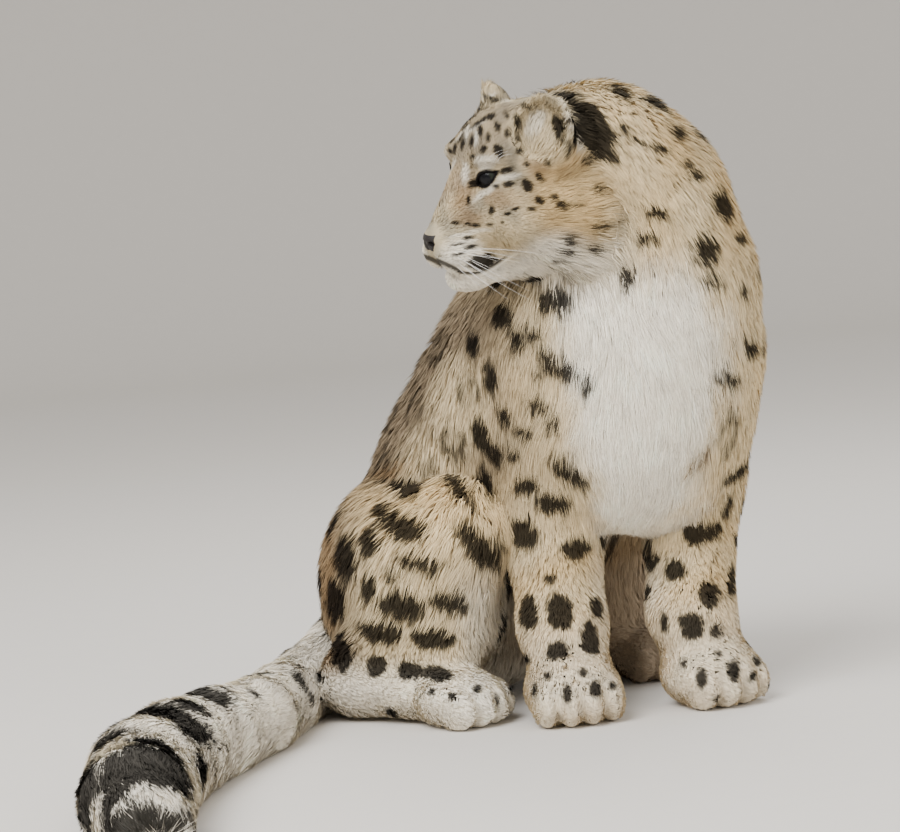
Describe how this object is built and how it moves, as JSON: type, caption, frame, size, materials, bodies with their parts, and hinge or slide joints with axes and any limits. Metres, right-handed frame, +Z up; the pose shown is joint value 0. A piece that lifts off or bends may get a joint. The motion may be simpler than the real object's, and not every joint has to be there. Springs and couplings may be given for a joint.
{
  "type": "snow leopard",
  "caption": "Life-size still snow leopard, seated on its haunches with forelegs straight, head turned to its right and thick tail laid round on the floor.",
  "frame": {"origin": "middle of the bottom of the whole model's box, on the floor", "axes": "+Z up, the front of the chest and the view of the picture face -Y, the animal's left side lies towards +X"},
  "size_m": [0.7684, 1.1174, 0.7394],
  "materials": {
    "back_coat": "thick smoky buff fur with dark rosettes, white on the chest and belly",
    "head_coat": "short grey-cream fur with small dark spots and fine dark stripes",
    "leg_coat": "cream fur with solid dark spots, whiter on the feet",
    "tail_coat": "long dense white and grey fur with black blotches",
    "nose_leather": "bare dark skin, slightly moist",
    "eye": "wet and glossy, grey-green iris and dark pupil"
  },
  "bodies": {
    "root": {"torso": "back_coat", "neck": "back_coat", "head": "head_coat", "nose": "nose_leather", "ear_left": "head_coat", "ear_right": "head_coat", "eye_left": "eye", "eye_right": "eye", "foreleg_left": "leg_coat", "foreleg_right": "leg_coat", "forepaw_left": "leg_coat", "forepaw_right": "leg_coat", "hindleg_left": "leg_coat", "hindleg_right": "leg_coat", "hindfoot_left": "leg_coat", "hindfoot_right": "leg_coat", "tail_1": "tail_coat", "tail_2": "tail_coat", "tail_3": "tail_coat", "tail_4": "tail_coat", "tail_5": "tail_coat"}
  },
  "joints": []
}
